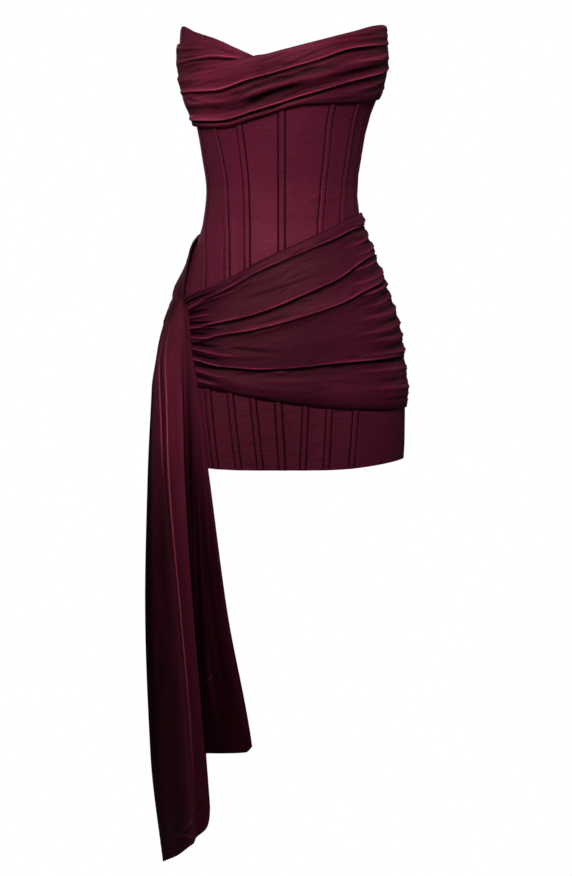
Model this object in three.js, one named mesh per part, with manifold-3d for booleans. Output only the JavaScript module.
// Homecoming dress, strapless: a boned corset bodice on a short boned skirt, a draped band over the bust,
// a wrap round the hips that is gathered at one hip, and a long sash that falls from those gathers.
// Millimetres, +Z up. The front faces -Y and +X is the wearer's left. The origin is at the centre of the
// bust, where the body inside holds the dress up, so heights are given as a drop below that bust line.
import * as THREE from "three";
import { mergeVertices } from "three/addons/utils/BufferGeometryUtils.js";
import Module from "manifold-3d";

// Driving dimensions
const WALL = 1.8; // satin with its backing, in the corset and the skirt
const DRAPE_WALL = 1.7; // satin folded double in the draped pieces
const SASH_WALL = 1.6;
const SEAM_GAP = 0.3; // between pieces that are sewn together
const CASING_WIDTH = 12; // bone casing, from stitch row to stitch row
const CASING_RISE = 0.9;
const CASING_GAP = 0.7; // under a flat casing on a rounded panel
const BODICE_BOTTOM = 395; // the bodice joins the skirt under the hip wrap
const HEM_DROP = 622;
const HEM_SIDE_RISE = 14; // the hem is cut higher at the side seams
const TOP_TURNING = 2; // the corset's edge lies this far below the bound edge of the drape
const CASING_END = 5; // a casing stops short of the raw edges
const SIDE = 0.25; // turn of the side seams
const CENTRE_BACK = 0.5; // turn of the centre back seam
const SECTION_POWER = 2.3; // 2 would be an ellipse, and more is squarer

// The figure under the dress, a section for each row: half its width, and its depth before and behind.
const FORM = [
  { drop: -60, half: 152, front: 100, back: 82 },
  { drop: 0, half: 155, front: 106, back: 88 },
  { drop: 50, half: 146, front: 103, back: 87 },
  { drop: 99, half: 129, front: 95, back: 82 },
  { drop: 149, half: 120, front: 86, back: 76 },
  { drop: 198, half: 113.7, front: 81, back: 72 },
  { drop: 248, half: 119, front: 83, back: 76 },
  { drop: 298, half: 136, front: 90, back: 88 },
  { drop: 347, half: 154.5, front: 96, back: 102 },
  { drop: 397, half: 171, front: 99, back: 112 },
  { drop: 446, half: 180, front: 100, back: 116 },
  { drop: 521, half: 187.5, front: 99, back: 114 },
  { drop: 580, half: 187, front: 97, back: 110 },
  { drop: 640, half: 183, front: 95, back: 107 },
];
const CUP = { turn: 0.085, drop: 22, swell: 10, spread: 0.055, height: 42 };

// The upper edge of the dress, round from the centre back: low behind, peaked at the sides, with one
// slanting dip in front.
const TOP_EDGE = [
  { turn: -0.5, drop: 22 },
  { turn: -0.4, drop: 16 },
  { turn: -0.3, drop: -22 },
  { turn: -0.25, drop: -46 },
  { turn: -0.215, drop: -50 },
  { turn: -0.18, drop: -40 },
  { turn: -0.137, drop: -28 },
  { turn: -0.094, drop: -13 },
  { turn: -0.052, drop: 1 },
  { turn: 0, drop: -7 },
  { turn: 0.065, drop: -19 },
  { turn: 0.138, drop: -35 },
  { turn: 0.187, drop: -47 },
  { turn: 0.215, drop: -50 },
  { turn: 0.25, drop: -45 },
  { turn: 0.3, drop: -22 },
  { turn: 0.4, drop: 16 },
  { turn: 0.5, drop: 22 },
];

// Where the bodice seams run, as shares of the half width at each height. In front they lie a little
// further to the wearer's left.
const BODICE_SEAMS = [
  {
    drop: -40, inner_right: 0.46, outer_right: 0.76, inner_left: 0.5, outer_left: 0.78,
    side: 0.965, back: 0.5,
  },
  {
    drop: 105, inner_right: 0.493, outer_right: 0.792, inner_left: 0.554, outer_left: 0.832,
    side: 0.965, back: 0.5,
  },
  {
    drop: 150, inner_right: 0.48, outer_right: 0.762, inner_left: 0.56, outer_left: 0.83,
    side: 0.965, back: 0.5,
  },
  {
    drop: 200, inner_right: 0.467, outer_right: 0.742, inner_left: 0.543, outer_left: 0.82,
    side: 0.965, back: 0.5,
  },
  {
    drop: 248, inner_right: 0.436, outer_right: 0.7, inner_left: 0.49, outer_left: 0.762,
    side: 0.96, back: 0.48,
  },
  {
    drop: 276, inner_right: 0.406, outer_right: 0.643, inner_left: 0.46, outer_left: 0.71,
    side: 0.91, back: 0.45,
  },
  {
    drop: 315, inner_right: 0.36, outer_right: 0.575, inner_left: 0.41, outer_left: 0.63,
    side: 0.82, back: 0.41,
  },
  {
    drop: 352, inner_right: 0.32, outer_right: 0.52, inner_left: 0.37, outer_left: 0.58,
    side: 0.757, back: 0.39,
  },
  {
    drop: 395, inner_right: 0.29, outer_right: 0.47, inner_left: 0.34, outer_left: 0.53,
    side: 0.7, back: 0.37,
  },
];

// Skirt casings, as shares of the half width at the hip and at the hem; the middle one is also a seam
const SKIRT_CASINGS = [
  {
    name: "inner",
    hip_right: 0.296, hem_right: 0.171,
    hip_left: 0.219, hem_left: 0.171,
    hip_back: 0.195, hem_back: 0.175,
  },
  {
    name: "middle",
    hip_right: 0.475, hem_right: 0.349,
    hip_left: 0.411, hem_left: 0.361,
    hip_back: 0.39, hem_back: 0.37,
  },
  {
    name: "outer",
    hip_right: 0.647, hem_right: 0.535,
    hip_left: 0.635, hem_left: 0.566,
    hip_back: 0.585, hem_back: 0.565,
  },
];
const SKIRT_CENTRE = { hip: -0.07, hem: 0.006 }; // the front seam leans; the wearer's left is positive

// The gathering seam over the wearer's right hip, where wrap and sash are sewn in together
const GATHER_SEAM = [
  { drop: 362, turn: -0.1955 },
  { drop: 381, turn: -0.1815 },
  { drop: 396, turn: -0.1755 },
  { drop: 426, turn: -0.17 },
  { drop: 451, turn: -0.166 },
  { drop: 471, turn: -0.162 },
  { drop: 496, turn: -0.1575 },
];
const GATHER_TOP = 362;
const GATHER_BOTTOM = 496;
const GATHER_STATION = -0.19; // its mean turn, where the wrap's folds start
const GATHER_UNEVEN = 3.3; // times that the gathers' height changes along the seam
const GATHER_HEIGHT = 1.8;
const GATHER_REACH = 0.022; // in turns, from the seam
const RUCHE_HEIGHT = 2.8; // ruching along the side seam on the other hip
const RUCHE_REACH = 0.03;
const GAP_TURN = 0.0006; // half a seam gap, as a turn
const BACK_GATHER_HEIGHT = 0.36; // behind, the sash lies close over the gathers
const SLIM_DEPTH = 1.8; // how much flatter the back wrap lies where the sash covers it
const SLIM_REACH = 0.12;
const SLIM_DROP = 40;
const FRONT_BLEND = 0.07; // how far from the slanting seam, in turns, the front wrap bends to it
const BACK_BLEND = 0.055;
const END_CROWDING = 0.35; // how far a drape's columns crowd to its ends, where the body turns sharply
const END_EASE = 0.05; // turn over which folds flatten towards a drape's ends
const END_FULLNESS = 0.25; // what is left of a fold's rise at the very end

// Each drape is a list of fold lines from its upper to its lower edge. A line gives its drop at the
// stations round the body, and how far the cloth stands out from the figure along it.
const BUST_DRAPE = {
  stations: [-0.25, -0.137, -0.06, 0.06, 0.138, 0.25],
  edgeOut: 7.8,
  folds: [
    { name: "upper edge", out: 8.8, drops: [28, 15, 3, -25, -44, -60] },
    { name: "upper roll", out: 9.6, drops: [33, 20, 9, -11, -30, -44] },
    { name: "upper swell", out: 8.8, drops: [39, 33, 19, -4, -24, -37] },
    { name: "tuck over first fold", out: 7.4, drops: [45, 45, 29, 3, -18, -31] },
    { name: "first fold", out: 12, drops: [51, 51.5, 35, 10, -12, -25] },
    { name: "under first fold", out: 7, drops: [56, 57, 41, 16, -5, -18] },
    { name: "middle swell", out: 10.5, drops: [70, 71, 57, 35, 15, -5] },
    { name: "deep valley", out: 6.2, drops: [82, 85, 73, 50, 30, 3] },
    { name: "second fold", out: 13.5, drops: [91, 96, 82, 57, 37, 11] },
    { name: "under second fold", out: 7.8, drops: [95, 100, 86, 62, 43, 18] },
    { name: "lower swell", out: 9, drops: [98, 103, 90, 68, 58, 38] },
    { name: "lower edge", out: 6.4, drops: [101, 107, 94, 74, 71, 60] },
  ],
};
const CUP_DRAPE = {
  stations: [-0.25, -0.18, -0.137, -0.094, -0.058],
  edgeOut: 5.8,
  folds: [
    { name: "upper edge", out: 5.8, drops: [-21, -23, -24, -11, 2] },
    { name: "upper roll", out: 7.4, drops: [-13, -16, -17, -6, 4] },
    { name: "upper crease", out: 6, drops: [-4, -8, -9.5, -1, 6] },
    { name: "swell", out: 7.6, drops: [8, 3, 0, 3.5, 8] },
    { name: "lower crease", out: 5.9, drops: [20, 12, 8, 9, 10] },
    { name: "tucked edge", out: 5.8, drops: [40, 29, 24, 17, 12] },
  ],
};
const WRAP_FRONT = {
  stations: [GATHER_STATION, -0.12, -0.05, 0.05, 0.12, 0.18, 0.25],
  edgeOut: 6.4,
  folds: [
    { name: "upper edge", out: 6.2, drops: [362, 333, 305, 278, 259, 240, 232] },
    { name: "upper roll", out: 8.6, drops: [368, 339, 311, 284, 265, 246, 238] },
    { name: "upper swell", out: 9.2, drops: [378, 347, 319, 293, 274, 256, 247] },
    { name: "upper crease", out: 6.6, drops: [392, 357, 327, 301, 284, 266, 256] },
    { name: "upper band", out: 9.8, drops: [399, 376, 354, 328, 308, 285, 272] },
    { name: "first fold", out: 12.5, drops: [407, 396, 382, 356, 333, 304, 288] },
    { name: "under first fold", out: 6.4, drops: [416, 404, 391, 366, 341, 311, 294] },
    { name: "second fold", out: 12, drops: [428, 416, 406, 388, 370, 345, 327] },
    { name: "under second fold", out: 8.4, drops: [435, 424, 415, 398, 380, 355, 338] },
    { name: "middle swell", out: 11, drops: [444, 444, 441, 431, 419, 404, 390] },
    { name: "third fold", out: 12, drops: [455, 464, 468, 464, 458, 453, 443] },
    { name: "under third fold", out: 6.6, drops: [461, 470, 474, 471, 465, 460, 449] },
    { name: "lower swell", out: 10.5, drops: [478, 487, 497, 501, 501, 499, 490] },
    { name: "lower edge", out: 6.2, drops: [496, 503, 514, 523, 529, 531, 525] },
  ],
};
const WRAP_BACK = {
  stations: [0.25, 0.4, 0.5, 0.6, 0.7, 0.755, 0.785, 1 + GATHER_STATION],
  edgeOut: 6.4,
  folds: [
    { name: "upper edge", out: 6.2, drops: [232, 236, 243, 252, 261, 270, 285, 361] },
    { name: "upper roll", out: 8.6, drops: [239, 243, 250, 260, 270, 281, 297, 369] },
    { name: "upper crease", out: 6.6, drops: [254, 262, 272, 284, 298, 310, 330, 382] },
    { name: "first fold", out: 10.5, drops: [286, 302, 316, 330, 342, 350, 368, 397] },
    { name: "under first fold", out: 6.6, drops: [295, 311, 324, 338, 350, 358, 376, 403] },
    { name: "second fold", out: 11, drops: [338, 362, 376, 388, 396, 400, 408, 420] },
    { name: "under second fold", out: 6.6, drops: [347, 371, 385, 397, 404, 408, 416, 428] },
    { name: "third fold", out: 11, drops: [400, 428, 442, 450, 450, 448, 449, 448] },
    { name: "under third fold", out: 6.6, drops: [409, 437, 450, 458, 458, 456, 457, 455] },
    { name: "lower swell", out: 10, drops: [470, 496, 504, 505, 498, 490, 484, 477] },
    { name: "lower edge", out: 6.2, drops: [530, 545, 548, 545, 535, 522, 509, 496] },
  ],
};

// The sash, a section for each row. Its lines run down the cloth from the gathering seam: the left edge, a
// valley beside a sharp crest, a folded edge, the tuck behind that fold, and the right edge. Each has its
// turns, and then how far it stands out from the figure.
const SASH_LINES = ["left", "valley", "crest", "fold", "tuck", "right"];
const SASH_PLACES = [0, 5, 7, 10, 14, 24]; // where those lines lie across the cloth, of 24 equal strips
const SASH_TURNS = [
  { drop: 362, left: -0.1975, valley: -0.1971, crest: -0.1967, fold: -0.1963, tuck: -0.1959, right: -0.1955 },
  { drop: 392, left: -0.222, valley: -0.2115, crest: -0.2046, fold: -0.1839, tuck: -0.18, right: -0.1755 },
  { drop: 446, left: -0.236, valley: -0.2135, crest: -0.204, fold: -0.1774, tuck: -0.1725, right: -0.1665 },
  { drop: 496, left: -0.238, valley: -0.2075, crest: -0.1966, fold: -0.174, tuck: -0.167, right: -0.158 },
  { drop: 634, left: -0.24, valley: -0.1975, crest: -0.1893, fold: -0.1685, tuck: -0.1645, right: -0.1405 },
  { drop: 834, left: -0.24, valley: -0.182, crest: -0.1735, fold: -0.1575, tuck: -0.164, right: -0.113 },
  { drop: 1063, left: -0.24, valley: -0.1675, crest: -0.1585, fold: -0.141, tuck: -0.158, right: -0.063 },
  { drop: 1240, left: -0.236, valley: -0.163, crest: -0.1535, fold: -0.1295, tuck: -0.152, right: -0.043 },
];
const SASH_OUTS = [
  { drop: 362, left: 11.8, valley: 11.8, crest: 11.8, fold: 11.8, tuck: 11.6, right: 11.4 },
  { drop: 392, left: 12, valley: 12.2, crest: 13, fold: 13, tuck: 12.2, right: 11.6 },
  { drop: 446, left: 12.4, valley: 13.4, crest: 16, fold: 15, tuck: 11.8, right: 11 },
  { drop: 496, left: 14, valley: 13.8, crest: 19, fold: 17.5, tuck: 11.4, right: 10.4 },
  { drop: 634, left: 20.5, valley: 17, crest: 25, fold: 23, tuck: 12, right: 12 },
  { drop: 834, left: 25, valley: 19, crest: 28, fold: 26, tuck: 11, right: 12 },
  { drop: 1063, left: 17.5, valley: 17, crest: 28, fold: 27, tuck: 10, right: 9 },
  { drop: 1240, left: -2, valley: 10, crest: 24, fold: 25, tuck: 10, right: 9 },
];
const SASH_HEM = [
  { across: 0, drop: 1232 },
  { across: 0.1, drop: 1216 },
  { across: 0.2, drop: 1192 },
  { across: 0.3, drop: 1176 },
  { across: 0.36, drop: 1163 },
  { across: 0.4, drop: 1145 },
  { across: 0.42, drop: 1130 },
  { across: 0.46, drop: 1100 },
  { across: 0.5, drop: 1075 },
  { across: 0.6, drop: 1053 },
  { across: 0.8, drop: 1051 },
  { across: 0.95, drop: 1048 },
  { across: 1, drop: 1039 },
];

// The concealed zip in the wearer's left side seam, closed, with a small pull tab on its slider
const ZIP_WIDTH = 2;
const ZIP_SIDE = 3.2; // the drapes end this far from the seam, clear of the slider
const SLIDER = { width: 5, height: 8, thick: 2, drop: -30 };
const BRIDGE = { width: 1.6, opening: 2.2, thick: 0.8, rise: 4 }; // the hoop that holds the tab
const TAB = { width: 4, length: 16, thick: 1.2, slotWidth: 2.2, slotLength: 2.8 };

// Wine-red satin: flat on the panels, a little deeper where it is draped
const PANEL_COLOUR = 0x5c1e30;
const CASING_COLOUR = 0x541b2b;
const DRAPE_COLOUR = 0x57192b;
const SASH_COLOUR = 0x45121f;
const ZIP_COLOUR = 0x3a1420;

const wasm = await Module();
wasm.setup();
const lerp = THREE.MathUtils.lerp;
const clamp = THREE.MathUtils.clamp;

// A curve through all the pairs, which never overshoots between them.
function curveThrough(places, values) {
  const steps = places.slice(1).map((next, i) => (values[i + 1] - values[i]) / (next - places[i]));
  const slopes = places.map((_, i) => {
    if (i === 0) return steps[0];
    if (i === steps.length) return steps[i - 1];
    const product = steps[i - 1] * steps[i];
    return product <= 0 ? 0 : (2 * product) / (steps[i - 1] + steps[i]);
  });
  return (place) => {
    const x = clamp(place, places[0], places[places.length - 1]);
    let i = 0;
    while (i < places.length - 2 && x > places[i + 1]) i += 1;
    const span = places[i + 1] - places[i];
    const t = (x - places[i]) / span;
    const rise = values[i + 1] - values[i];
    const bend = t * (1 - t) * ((1 - t) * (slopes[i] * span - rise) - t * (slopes[i + 1] * span - rise));
    return values[i] + t * rise + bend;
  };
}

// One curve for each named column of a table, along its place column.
function columnsOf(table, place) {
  const places = table.map((row) => row[place]);
  const names = Object.keys(table[0]).filter((name) => name !== place);
  const curveOf = (name) => curveThrough(places, table.map((row) => row[name]));
  return Object.fromEntries(names.map((name) => [name, curveOf(name)]));
}

const form = columnsOf(FORM, "drop");
const topEdge = columnsOf(TOP_EDGE, "turn").drop;
const bodiceSeam = columnsOf(BODICE_SEAMS, "drop");
const sashTurn = columnsOf(SASH_TURNS, "drop");
const sashOut = columnsOf(SASH_OUTS, "drop");
const sashHem = columnsOf(SASH_HEM, "across").drop;
const gatherTurn = columnsOf(GATHER_SEAM, "drop").turn;

// Turn as one between -0.5 and 0.5, with 0 at the centre front and positive towards the wearer's left.
function frontTurn(turn) {
  return turn - Math.round(turn);
}

// A point that stands out from the figure by a distance, at a turn round it and a drop below the bust.
function onFigure(turn, drop, out) {
  const angle = turn * 2 * Math.PI;
  const sine = Math.sin(angle);
  const cosine = Math.cos(angle);
  const half = form.half(drop);
  const depth = cosine > 0 ? form.front(drop) : form.back(drop);
  const reach = Math.abs(sine / half) ** SECTION_POWER + Math.abs(cosine / depth) ** SECTION_POWER;
  const aside = (Math.abs(frontTurn(turn)) - CUP.turn) / CUP.spread;
  const below = (drop - CUP.drop) / CUP.height;
  const radius = reach ** (-1 / SECTION_POWER) + CUP.swell * Math.exp(-aside * aside - below * below);
  const x = radius * sine;
  const y = -radius * cosine;
  const normal = new THREE.Vector3(
    (Math.sign(x) * Math.abs(x / half) ** (SECTION_POWER - 1)) / half,
    (Math.sign(y) * Math.abs(y / depth) ** (SECTION_POWER - 1)) / depth,
    0,
  ).normalize();
  return new THREE.Vector3(x, y, -drop).addScaledVector(normal, out);
}

// The turn of a place given as a share of the half width, on the front or on the back.
function turnAtShare(share, drop, behind = false) {
  const x = share * form.half(drop);
  const depth = behind ? form.back(drop) : form.front(drop);
  const y = depth * (1 - Math.abs(share) ** SECTION_POWER) ** (1 / SECTION_POWER);
  const turn = Math.atan2(x, y) / (2 * Math.PI);
  return behind ? CENTRE_BACK - turn : turn;
}

// A width in millimetres as a turn, near one place on the figure.
function turnOfWidth(width, turn, drop) {
  const step = 0.002;
  const length = onFigure(turn, drop, 0).distanceTo(onFigure(turn + step, drop, 0));
  return (width * step) / length;
}

// The turn that lies a width in millimetres past another.
function beside(turn, width, drop) {
  return turn + turnOfWidth(width, turn, drop);
}

function hemDrop(turn) {
  return HEM_DROP - HEM_SIDE_RISE * Math.sin(turn * 2 * Math.PI) ** 8;
}


// A closed wall over a grid. pointAt gives a point for shares across and down, on the inner (0) or outer
// (1) face; across runs towards the wearer's left over the front, and down runs towards the hem.
function wall(columns, rows, pointAt) {
  const points = [];
  const faces = [];
  const quad = (a, b, c, d) => faces.push(a, b, c, a, c, d);
  const at = (face, row, column) => (face * (rows + 1) + row) * (columns + 1) + column;
  for (const face of [0, 1]) {
    for (let row = 0; row <= rows; row += 1) {
      for (let column = 0; column <= columns; column += 1) {
        points.push(pointAt(column / columns, row / rows, face));
      }
    }
  }
  for (let row = 0; row < rows; row += 1) {
    for (let column = 0; column < columns; column += 1) {
      quad(at(1, row, column), at(1, row + 1, column), at(1, row + 1, column + 1), at(1, row, column + 1));
      quad(at(0, row, column), at(0, row, column + 1), at(0, row + 1, column + 1), at(0, row + 1, column));
    }
    quad(at(1, row, 0), at(0, row, 0), at(0, row + 1, 0), at(1, row + 1, 0));
    quad(at(1, row, columns), at(1, row + 1, columns), at(0, row + 1, columns), at(0, row, columns));
  }
  for (let column = 0; column < columns; column += 1) {
    quad(at(1, 0, column), at(1, 0, column + 1), at(0, 0, column + 1), at(0, 0, column));
    quad(at(1, rows, column), at(0, rows, column), at(0, rows, column + 1), at(1, rows, column + 1));
  }
  const geometry = new THREE.BufferGeometry().setFromPoints(points);
  geometry.setIndex(faces);
  geometry.computeVertexNormals();
  return geometry;
}

function satin(color, roughness) {
  return new THREE.MeshStandardMaterial({ color, roughness, metalness: 0 });
}

function named(name, geometry, material) {
  const mesh = new THREE.Mesh(geometry, material);
  mesh.name = name;
  return mesh;
}

// The drop of a row of the cloth where it meets a line, from the cloth's upper to its lower edge.
function rowDrop(line, edges, down) {
  const start = line(FORM[1].drop);
  const turn = line(lerp(edges.top(start), edges.bottom(start), down));
  return lerp(edges.top(turn), edges.bottom(turn), down);
}

// Corset and skirt panels: cloth between two seams, each a turn for every drop.
function panel(name, seams, edges, grid) {
  const geometry = wall(grid.columns, grid.rows, (across, down, face) => {
    const line = (drop) => {
      const inset = turnOfWidth(SEAM_GAP / 2, seams.from(drop), drop);
      return lerp(seams.from(drop) + inset, seams.to(drop) - inset, across);
    };
    const drop = rowDrop(line, edges, down);
    return onFigure(line(drop), drop, face * WALL);
  });
  return named(name, geometry, satin(PANEL_COLOUR, 0.45));
}

// A bone casing: a flat strip along a line on the panels, with its rows at theirs.
function casing(name, line, edges, rows) {
  const geometry = wall(1, rows, (across, down, face) => {
    const ends = [rowDrop(line, edges, 0) + CASING_END, rowDrop(line, edges, 1) - CASING_END];
    const drop = clamp(rowDrop(line, edges, down), ...ends);
    const turn = line(drop);
    const offset = turnOfWidth(CASING_WIDTH * (across - 0.5), turn, drop);
    return onFigure(turn + offset, drop, WALL + CASING_GAP + face * CASING_RISE);
  });
  return named(name, geometry, satin(CASING_COLOUR, 0.45));
}

// The same piece on both sides of the body: sign -1 is the wearer's right and 1 the left.
function onBothSides(make) {
  return [make("right", -1), make("left", 1)];
}

// A line on the wearer's left, or its mirror image on the right. The panel between two such lines always
// runs from the lesser turn to the greater.
function mirrored(line, sign) {
  return (drop) => sign * line(drop);
}

function between(first, second, sign) {
  const [near, far] = [mirrored(first, sign), mirrored(second, sign)];
  return sign > 0 ? { from: near, to: far } : { from: far, to: near };
}

// The seams of one side of the bodice, each a turn for every drop.
function bodiceLines(side) {
  const seam = (name, behind) => (drop) => turnAtShare(bodiceSeam[name](drop), drop, behind);
  return {
    centre: () => 0,
    inner: seam(`inner_${side}`, false),
    outer: seam(`outer_${side}`, false),
    side: seam("side", false),
    sideSeam: () => SIDE,
    back: seam("back", true),
    centreBack: () => CENTRE_BACK,
  };
}

function makeBodice() {
  const bodice = new THREE.Group();
  const edges = { top: (turn) => topEdge(turn) + TOP_TURNING, bottom: () => BODICE_BOTTOM - SEAM_GAP };
  const beforeZip = (drop) => beside(SIDE, -(ZIP_WIDTH + SEAM_GAP) / 2, drop);
  const behindZip = (drop) => beside(SIDE, (ZIP_WIDTH + SEAM_GAP) / 2, drop);
  const grid = { columns: 3, rows: 14 };
  bodice.add(
    ...onBothSides((side, sign) => {
      const lines = bodiceLines(side);
      const { centre, inner, outer, sideSeam, back, centreBack } = lines;
      const beforeSeam = sign > 0 ? beforeZip : sideSeam;
      const behindSeam = sign > 0 ? behindZip : sideSeam;
      const pair = new THREE.Group();
      pair.add(
        panel(`bodice_centre_front_${side}`, between(centre, inner, sign), edges, grid),
        panel(`bodice_mid_front_${side}`, between(inner, outer, sign), edges, grid),
        panel(`bodice_side_front_${side}`, between(outer, beforeSeam, sign), edges, grid),
        panel(`bodice_side_back_${side}`, between(behindSeam, back, sign), edges, grid),
        panel(`bodice_centre_back_${side}`, between(back, centreBack, sign), edges, grid),
      );
      for (const line of ["inner", "outer", "side", "back"]) {
        const path = mirrored(lines[line], sign);
        pair.add(casing(`bodice_casing_${line}_${side}`, path, edges, grid.rows));
      }
      return pair;
    }),
    casing("bodice_casing_centre", () => 0, edges, grid.rows),
  );
  return bodice;
}

function makeSkirt() {
  const skirt = new THREE.Group();
  const edges = { top: () => BODICE_BOTTOM, bottom: hemDrop };
  const grid = { columns: 5, rows: 6 };
  const downSkirt = (drop) => clamp((drop - BODICE_BOTTOM) / (HEM_DROP - BODICE_BOTTOM), 0, 1);
  const lineOf = (row, place) => (drop) => {
    const share = lerp(row[`hip_${place}`], row[`hem_${place}`], downSkirt(drop));
    return turnAtShare(share, drop, place === "back");
  };
  const centreFront = (drop) => {
    return turnAtShare(lerp(SKIRT_CENTRE.hip, SKIRT_CENTRE.hem, downSkirt(drop)), drop);
  };
  const seam = SKIRT_CASINGS.find((row) => row.name === "middle");
  skirt.add(
    ...onBothSides((side, sign) => {
      const { sideSeam, centreBack } = bodiceLines(side);
      const centre = mirrored(centreFront, sign);
      const [front, back] = [lineOf(seam, side), lineOf(seam, "back")];
      const pair = new THREE.Group();
      pair.add(
        panel(`skirt_centre_front_${side}`, between(centre, front, sign), edges, grid),
        panel(`skirt_side_front_${side}`, between(front, sideSeam, sign), edges, grid),
        panel(`skirt_side_back_${side}`, between(sideSeam, back, sign), edges, grid),
        panel(`skirt_centre_back_${side}`, between(back, centreBack, sign), edges, grid),
      );
      for (const row of SKIRT_CASINGS) {
        for (const [place, shares] of [["front", side], ["back", "back"]]) {
          const path = mirrored(lineOf(row, shares), sign);
          pair.add(casing(`skirt_casing_${place}_${row.name}_${side}`, path, edges, grid.rows));
        }
      }
      return pair;
    }),
    casing("skirt_casing_front_centre", centreFront, edges, grid.rows),
  );
  return skirt;
}

// A draped piece through its fold lines. shape may cut its upper edge, move its ends and add gathers.
function drape(name, piece, grid, shape = {}) {
  const { stations, folds, edgeOut } = piece;
  const lines = folds.map((fold) => curveThrough(stations, fold.drops));
  const order = folds.map((_, i) => i);
  const first = stations[0];
  const last = stations[stations.length - 1];
  const outAlong = curveThrough(order, folds.map((fold) => fold.out));
  const geometry = wall(grid.columns, grid.rows, (across, down, face) => {
    const crowded = across - (END_CROWDING * Math.sin(2 * Math.PI * across)) / (2 * Math.PI);
    const station = lerp(first, last, crowded);
    const top = shape.top ? shape.top(station) : -Infinity;
    const drops = lines.map((line, i) => Math.max(line(station), top + i * SEAM_GAP));
    const place = down * (folds.length - 1);
    const drop = curveThrough(order, drops)(place);
    const turn = shape.turn ? shape.turn(station, drop) : station;
    const ease = Math.min(1, (station - first) / END_EASE, (last - station) / END_EASE);
    const fullness = lerp(END_FULLNESS, 1, Math.sin((ease * Math.PI) / 2));
    const ruffle = shape.ruffle ? shape.ruffle(station, down) : 0;
    const slimmed = shape.slim ? shape.slim(station, drop) : 0;
    const out = edgeOut + (outAlong(place) - edgeOut) * fullness + ruffle - slimmed;
    return onFigure(turn, drop, out - (1 - face) * DRAPE_WALL);
  });
  return named(name, geometry, satin(DRAPE_COLOUR, 0.38));
}

// Gathers that stand along an end of a wrap, one between each two folds, and fade away from it.
function gathersAt(piece, end, height, reach) {
  const count = piece.folds.length - 1;
  return (station, down) => {
    const fade = Math.exp(-Math.abs(station - end) / reach);
    const uneven = lerp(0.6, 1, Math.cos(2 * Math.PI * GATHER_UNEVEN * down) / 2 + 0.5);
    return (height * fade * uneven * (1 - Math.cos(2 * Math.PI * count * down))) / 2;
  };
}

// Under the sash the back wrap is drawn flat against the hip.
function flatUnderSash(station, drop) {
  const near = clamp(1 - Math.abs(frontTurn(station) - GATHER_STATION) / SLIM_REACH, 0, 1);
  const low = clamp((drop - GATHER_TOP) / SLIM_DROP, 0, 1);
  return SLIM_DEPTH * near * low;
}

// The ends of the wrap follow the gathering seam, one on each side of it.
function alongGathers(side, reach) {
  return (station, drop) => {
    const offset = frontTurn(station) - GATHER_STATION;
    const share = clamp(1 - Math.abs(offset) / reach, 0, 1);
    const seam = gatherTurn(drop) - GATHER_STATION + side * GAP_TURN;
    return station + seam * share * share * (3 - 2 * share);
  };
}

function makeDrapes() {
  const drapes = new THREE.Group();
  const before = alongGathers(1, FRONT_BLEND);
  const behind = alongGathers(-1, BACK_BLEND);
  const frontGathers = gathersAt(WRAP_FRONT, GATHER_STATION, GATHER_HEIGHT, GATHER_REACH);
  const frontRuching = gathersAt(WRAP_FRONT, SIDE, RUCHE_HEIGHT, RUCHE_REACH);
  const backGathers = gathersAt(WRAP_BACK, 1 + GATHER_STATION, BACK_GATHER_HEIGHT, GATHER_REACH);
  const backRuching = gathersAt(WRAP_BACK, SIDE, RUCHE_HEIGHT, RUCHE_REACH);
  const frontEnd = (drop) => beside(SIDE, -ZIP_SIDE, drop);
  const backEnd = (drop) => beside(SIDE, ZIP_SIDE, drop);
  drapes.add(
    drape("bust_drape_cup", CUP_DRAPE, { columns: 10, rows: 10 }, { top: topEdge }),
    drape("bust_drape", BUST_DRAPE, { columns: 26, rows: 22 }, {
      top: topEdge,
      turn: (station, drop) => Math.min(station, frontEnd(drop)),
    }),
    drape("hip_wrap_front", WRAP_FRONT, { columns: 28, rows: 26 }, {
      turn: (station, drop) => Math.min(before(station, drop), frontEnd(drop)),
      ruffle: (station, down) => frontGathers(station, down) + frontRuching(station, down),
    }),
    drape("hip_wrap_back", WRAP_BACK, { columns: 26, rows: 20 }, {
      slim: flatUnderSash,
      turn: (station, drop) => Math.max(behind(station, drop), backEnd(drop)),
      ruffle: (station, down) => backGathers(station, down) + backRuching(station, down),
    }),
    makeSash(),
  );
  return drapes;
}

// The sash is one length of cloth. Its top is the gathering seam, from which it fans out and falls; its
// fold deepens on the way down, so that the front part ends over the part behind it.
function makeSash() {
  const strips = SASH_PLACES[SASH_PLACES.length - 1];
  const along = curveThrough(SASH_PLACES.map((place) => place / strips), SASH_PLACES.map((_, i) => i));
  const geometry = wall(strips, strips, (across, down, face) => {
    const drop = lerp(lerp(GATHER_TOP, GATHER_BOTTOM, across), sashHem(across), down);
    const level = Math.min(drop, GATHER_BOTTOM);
    const points = SASH_LINES.map((line) => {
      return onFigure(sashTurn[line](drop), level, sashOut[line](drop) - SASH_WALL / 2).setZ(-drop);
    });
    const section = new THREE.CatmullRomCurve3(points, false, "centripetal");
    const opened = clamp((level - GATHER_TOP) / (GATHER_BOTTOM - GATHER_TOP), 0.001, 1);
    const place = along(Math.min(across / opened, 1)) / (points.length - 1);
    const tangent = section.getTangent(place);
    const outward = new THREE.Vector3(tangent.y, -tangent.x, 0).normalize();
    return section.getPoint(place).addScaledVector(outward, (face - 0.5) * SASH_WALL);
  });
  return named("sash", geometry, satin(SASH_COLOUR, 0.38));
}

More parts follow.
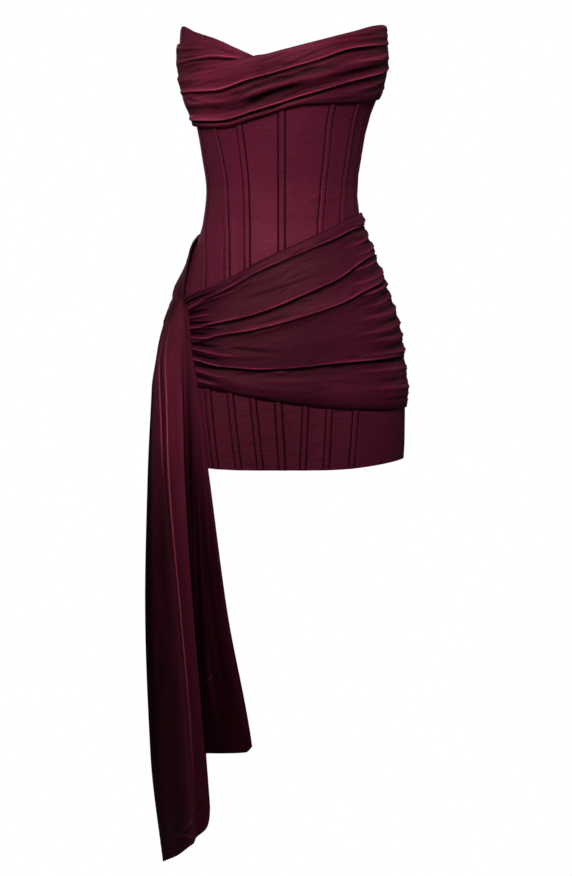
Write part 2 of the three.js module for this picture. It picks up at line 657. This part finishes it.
// A flat outline, drawn with x along the body and y up, as a plate on the side of the body.
function plateOnSide(outline, thick) {
  const plate = new THREE.ExtrudeGeometry(outline, { depth: thick, bevelEnabled: false, curveSegments: 6 });
  return plate.rotateX(Math.PI / 2).rotateZ(Math.PI / 2);
}

function solidOf(geometry) {
  const bare = geometry.clone().deleteAttribute("normal").deleteAttribute("uv");
  const merged = mergeVertices(bare);
  const vertProperties = new Float32Array(merged.attributes.position.array);
  const triVerts = new Uint32Array(merged.index.array);
  return new wasm.Manifold(new wasm.Mesh({ numProp: 3, vertProperties, triVerts }));
}

function geometryOf(solid) {
  const mesh = solid.getMesh();
  const geometry = new THREE.BufferGeometry();
  geometry.setAttribute("position", new THREE.BufferAttribute(mesh.vertProperties, 3));
  geometry.setIndex([...mesh.triVerts]);
  geometry.computeVertexNormals();
  return geometry;
}

// The slider: a rounded plate on the coil, with a hoop that stands up from it.
function makeSlider(metal) {
  const { width, height, thick } = SLIDER;
  const outline = new THREE.Shape();
  outline.moveTo(-width / 2, 0);
  outline.lineTo(width / 2, 0);
  outline.absarc(0, height - width / 2, width / 2, 0, Math.PI, false);
  const plate = solidOf(plateOnSide(outline, thick));
  const half = BRIDGE.opening / 2;
  const section = new THREE.Shape();
  section.moveTo(thick / 2, BRIDGE.rise - half - BRIDGE.thick);
  section.lineTo(thick + BRIDGE.opening + BRIDGE.thick, BRIDGE.rise - half - BRIDGE.thick);
  section.lineTo(thick + BRIDGE.opening + BRIDGE.thick, BRIDGE.rise + half + BRIDGE.thick);
  section.lineTo(thick / 2, BRIDGE.rise + half + BRIDGE.thick);
  section.lineTo(thick / 2, BRIDGE.rise + half);
  section.lineTo(thick + BRIDGE.opening, BRIDGE.rise + half);
  section.lineTo(thick + BRIDGE.opening, BRIDGE.rise - half);
  section.lineTo(thick / 2, BRIDGE.rise - half);
  const hoop = new THREE.ExtrudeGeometry(section, { depth: BRIDGE.width, bevelEnabled: false });
  hoop.rotateX(Math.PI / 2).translate(0, BRIDGE.width / 2, 0);
  return named("zip_slider", geometryOf(plate.add(solidOf(hoop))), metal);
}

// The pull tab, whose upper bar passes through the hoop. It is drawn about the bar, and hangs from it.
function makeTab(metal) {
  const { width, length, thick, slotWidth, slotLength } = TAB;
  const outline = new THREE.Shape();
  outline.moveTo(width / 2, thick / 2);
  outline.lineTo(-width / 2, thick / 2);
  outline.lineTo(-width / 2, width / 2 - length);
  outline.absarc(0, width / 2 - length, width / 2, Math.PI, 2 * Math.PI, false);
  const slot = new THREE.Path();
  slot.moveTo(slotWidth / 2, -thick / 2);
  slot.lineTo(slotWidth / 2, -thick / 2 - slotLength);
  slot.lineTo(-slotWidth / 2, -thick / 2 - slotLength);
  slot.lineTo(-slotWidth / 2, -thick / 2);
  outline.holes.push(slot);
  return named("zip_pull_tab", plateOnSide(outline, thick).translate(-thick / 2, 0, 0), metal);
}

// The closed zip: its coil fills the side seam of the bodice, and the slider is parked at the top.
function makeZip() {
  const zip = new THREE.Group();
  const line = () => SIDE;
  const edges = { top: (turn) => topEdge(turn) + TOP_TURNING, bottom: () => BODICE_BOTTOM - SEAM_GAP };
  const coil = wall(1, 14, (across, down, face) => {
    const drop = rowDrop(line, edges, down);
    return onFigure(beside(SIDE, ZIP_WIDTH * (across - 0.5), drop), drop, face * WALL);
  });
  const metal = new THREE.MeshStandardMaterial({ color: ZIP_COLOUR, roughness: 0.35, metalness: 0.6 });
  const slider = makeSlider(metal);
  slider.position.copy(onFigure(SIDE, SLIDER.drop, WALL + SEAM_GAP));
  const tab = makeTab(metal);
  const barPlace = new THREE.Vector3(SLIDER.thick + BRIDGE.opening / 2, 0, BRIDGE.rise);
  tab.position.copy(slider.position).add(barPlace);
  zip.add(named("zip_coil", coil, satin(ZIP_COLOUR, 0.5)), slider, tab);
  return zip;
}

const dress = new THREE.Group();
dress.add(makeBodice(), makeSkirt(), makeDrapes(), makeZip());

export default dress;
